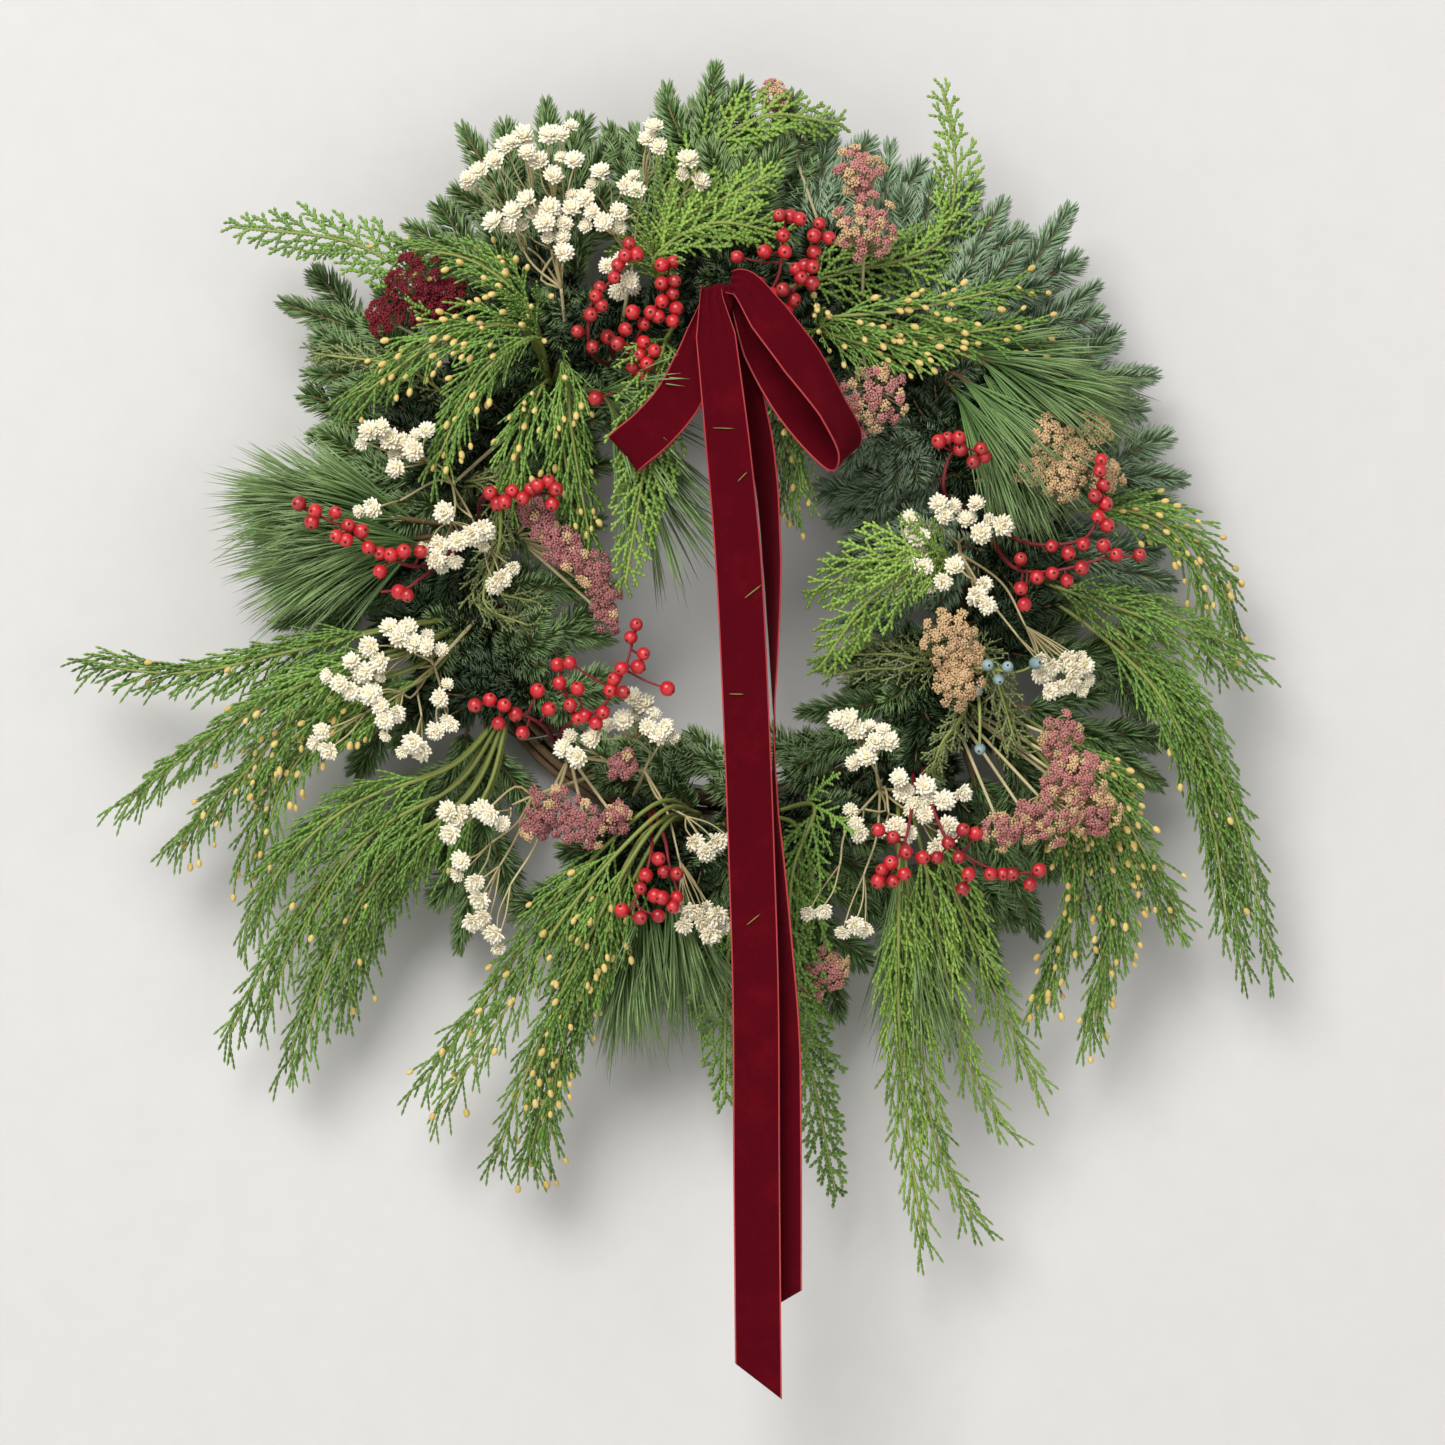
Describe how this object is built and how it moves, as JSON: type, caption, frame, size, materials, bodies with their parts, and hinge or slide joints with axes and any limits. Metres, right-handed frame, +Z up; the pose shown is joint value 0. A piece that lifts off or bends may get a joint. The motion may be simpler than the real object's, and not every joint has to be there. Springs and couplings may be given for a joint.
{
  "type": "fresh evergreen wreath",
  "caption": "Wreath of mixed fresh evergreens, red berries and dried flowers on a round wire frame, with a velvet bow and long tails, hung by a wire loop.",
  "frame": {"origin": "where the wire hanging loop bears on its nail, at the top inside of the loop", "axes": "+Z up, -Y towards the viewer, +Y towards the wall, +X to the viewer's right"},
  "size_m": [0.6552, 0.1515, 0.7301],
  "materials": {
    "stem": "rough brown bark",
    "wire": "dull green-grey steel wire",
    "velvet": "short velvet pile",
    "burgundy": "dried florets",
    "pink": "dried florets",
    "mauve": "dried florets",
    "beige": "dried florets",
    "flower": "dry papery petals",
    "berry": "waxy red skin",
    "blueberry": "blue skin with a pale bloom",
    "pine": "long soft needles",
    "cedar": "overlapping scale leaves",
    "lime": "bright young scale leaves",
    "juniper": "short sharp needles",
    "fir": "blue-green flat needles"
  },
  "bodies": {
    "root": {"bound_stems": "stem", "ring_frame": "wire", "hanging_loop": "wire", "binding_wire": "wire", "ribbon_tail_front": "velvet", "ribbon_tail_back": "velvet", "ribbon_loop_left": "velvet", "ribbon_loop_right": "velvet", "ribbon_knot": "velvet", "head_burgundy": "burgundy", "head_pink_bow": "pink", "head_mauve_left": "mauve", "head_beige_right": "beige", "head_beige_middle": "beige", "head_pink_large": "pink", "head_mauve_low": "mauve", "head_pink_low": "pink", "flowers_top_left": "flower", "flowers_top": "flower", "flowers_left": "flower", "flowers_left_low": "flower", "flowers_low_left": "flower", "flowers_middle_low": "flower", "flowers_right": "flower", "flowers_low_right": "flower", "berries_bow_left": "berry", "berries_bow_right": "berry", "berries_left": "berry", "berries_lower_left": "berry", "berries_bottom": "berry", "berries_right": "berry", "berries_lower_right": "berry", "juniper_berries": "blueberry", "pine_left": "pine", "pine_right": "pine", "pine_hole": "pine", "pine_low_left": "pine", "pine_low_right": "pine", "cedar_top_left": "cedar", "cedar_cone_fan": "cedar", "cedar_top": "lime", "cedar_bow_right": "cedar", "cedar_left": "cedar", "cedar_low_left": "cedar", "cedar_bottom_left": "cedar", "cedar_bottom": "cedar", "cedar_bottom_right": "lime", "cedar_low_right": "cedar", "cedar_right": "cedar", "cedar_hole_right": "lime", "juniper_left": "juniper", "juniper_right": "juniper", "fir_top_left": "fir", "fir_top": "fir", "fir_top_right": "fir", "fir_right": "fir", "fir_right_low": "fir", "fir_bottom": "fir", "fir_left": "fir", "fir_left_upper": "fir"}
  },
  "joints": []
}
